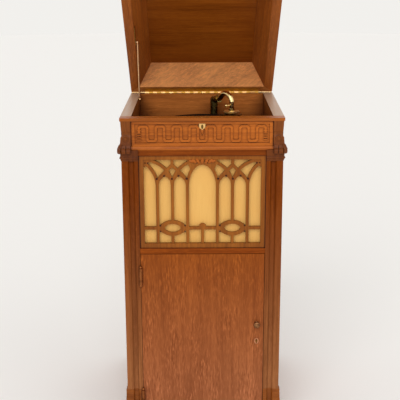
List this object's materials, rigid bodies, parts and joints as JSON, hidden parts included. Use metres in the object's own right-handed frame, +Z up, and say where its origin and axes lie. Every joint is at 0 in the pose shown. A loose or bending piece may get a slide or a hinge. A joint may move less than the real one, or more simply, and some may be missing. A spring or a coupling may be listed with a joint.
{
  "type": "gramophone cabinet",
  "caption": "Upright disc gramophone in a carved oak cabinet, lid open over turntable and tone arm, tracery grille over an inner horn, record rack behind a hinged door.",
  "frame": {"origin": "on the floor, under the middle of the case between its posts", "axes": "+X to the right seen from the front, -Y to the front, +Z up"},
  "size_m": [0.503, 0.5454, 1.3792],
  "materials": {
    "oak": "satin varnish over quartersawn oak",
    "dark_oak": "satin varnish over stained oak",
    "red_oak": "satin varnish over quartersawn oak",
    "carved_oak": "dark stained carved oak",
    "brass": "worn polish",
    "pale_brass": "polished",
    "copper": "worn",
    "bronze": "dull lacquer",
    "steel": "ground",
    "black_iron": "black enamel",
    "dark_paint": "dark enamel",
    "gold_cloth": "woven",
    "black_felt": "felt"
  },
  "bodies": {
    "cabinet": {"plinth": "dark_oak", "bottom_board": "dark_oak", "post_front_left": "dark_oak", "post_front_right": "dark_oak", "post_back_left": "dark_oak", "post_back_right": "dark_oak", "console_left": "carved_oak", "console_right": "carved_oak", "side_panel_left": "oak", "side_panel_right": "oak", "side_rails": "dark_oak", "box_side_left": "oak", "box_side_right": "oak", "box_back": "oak", "back_panel": "dark_oak", "rim_rail": "red_oak", "frieze": "red_oak", "front_rails": "red_oak", "grille": "dark_oak", "grille_cloth": "gold_cloth", "horn": "dark_oak", "horn_floor": "dark_oak", "record_dividers": "dark_oak", "motor_board": "dark_oak", "board_cleats": "dark_oak", "box_lock": "brass", "box_escutcheon": "pale_brass", "stay_foot": "brass", "crank_escutcheon": "brass", "arm_base": "black_iron", "motor_frame": "steel", "door_hinge_fixed": "brass", "lid_hinge_fixed": "brass"},
    "lid": {"lid_side_left": "oak", "lid_side_right": "oak", "lid_front": "oak", "lid_back": "oak", "lid_top": "oak", "lid_hinge_moving": "brass", "lid_catch": "brass", "stay_slide": "brass"},
    "stay": {"stay_rod": "brass"},
    "door": {"door_panel": "red_oak", "door_knob": "bronze", "door_escutcheon": "copper", "door_lock": "brass", "door_hinge_moving": "brass"},
    "turntable": {"turntable": "dark_paint", "turntable_felt": "black_felt", "spindle": "steel"},
    "spring_barrel": {"spring_barrel": "steel"},
    "governor": {"governor": "brass"},
    "winding_arbor": {"winding_arbor": "steel"},
    "winding_shaft": {"winding_shaft": "steel"},
    "tone_arm": {"arm_neck": "black_iron", "arm_bend": "brass"},
    "sound_box": {"sound_box": "bronze"},
    "needle_weight": {"needle_weight": "bronze"},
    "brake_lever": {"brake_lever": "steel"},
    "speed_lever": {"speed_lever": "brass"}
  },
  "joints": [
    {"name": "lid_hinge", "type": "hinge", "parent": "cabinet", "child": "lid", "pos_m": [0, 0.2475, 0.9905], "axis": [1, 0, 0], "range_deg": [0, 46]},
    {"name": "stay_pivot", "type": "hinge", "parent": "cabinet", "child": "stay", "pos_m": [-0.2057, 0.13, 0.986], "axis": [1, 0, 0], "range_deg": [0, 70.9]},
    {"name": "door_hinge", "type": "hinge", "parent": "cabinet", "child": "door", "pos_m": [-0.1894, -0.2494, 0.295], "axis": [0, 0, -1], "range_deg": [0, 110]},
    {"name": "turntable_spin", "type": "hinge", "parent": "cabinet", "child": "turntable", "pos_m": [0.005, 0.0035, 0.932], "axis": [0, 0, 1], "continuous": true},
    {"name": "barrel_spin", "type": "hinge", "parent": "cabinet", "child": "spring_barrel", "pos_m": [0.04389, -0.03539, 0.797], "axis": [0, 0, 1], "continuous": true},
    {"name": "governor_spin", "type": "hinge", "parent": "cabinet", "child": "governor", "pos_m": [-0.01975, 0.02825, 0.797], "axis": [0, 0, 1], "continuous": true},
    {"name": "winding_turn", "type": "hinge", "parent": "cabinet", "child": "winding_shaft", "pos_m": [0.09389, -0.03539, 0.844], "axis": [1, 0, 0], "continuous": true},
    {"name": "arbor_turn", "type": "hinge", "parent": "cabinet", "child": "winding_arbor", "pos_m": [0.04389, -0.03539, 0.797], "axis": [0, 0, 1], "continuous": true},
    {"name": "arm_swing", "type": "hinge", "parent": "cabinet", "child": "tone_arm", "pos_m": [0.041, 0.1755, 0.902], "axis": [0, 0, 1], "range_deg": [-40, 32]},
    {"name": "sound_box_turn", "type": "hinge", "parent": "tone_arm", "child": "sound_box", "pos_m": [0.09791, 0.09572, 0.955], "axis": [0, 0, 1], "range_deg": [0, 45]},
    {"name": "weight_float", "type": "hinge", "parent": "sound_box", "child": "needle_weight", "pos_m": [0.08165, 0.11851, 0.943], "axis": [0.8141, 0.5807, 0], "range_deg": [-3, 0]},
    {"name": "brake_turn", "type": "hinge", "parent": "cabinet", "child": "brake_lever", "pos_m": [0.1655, -0.1185, 0.902], "axis": [0, 0, 1], "range_deg": [0, 4.5]},
    {"name": "speed_turn", "type": "hinge", "parent": "cabinet", "child": "speed_lever", "pos_m": [-0.1415, -0.1365, 0.902], "axis": [0, 0, 1], "range_deg": [-25, 25]}
  ],
  "couplings": [
    {"joint": "stay_pivot", "follows": "lid_hinge", "ratio": 1.5412},
    {"joint": "barrel_spin", "follows": "turntable_spin", "ratio": -0.22222},
    {"joint": "governor_spin", "follows": "turntable_spin", "ratio": -4},
    {"joint": "arbor_turn", "follows": "winding_turn", "ratio": 1}
  ]
}
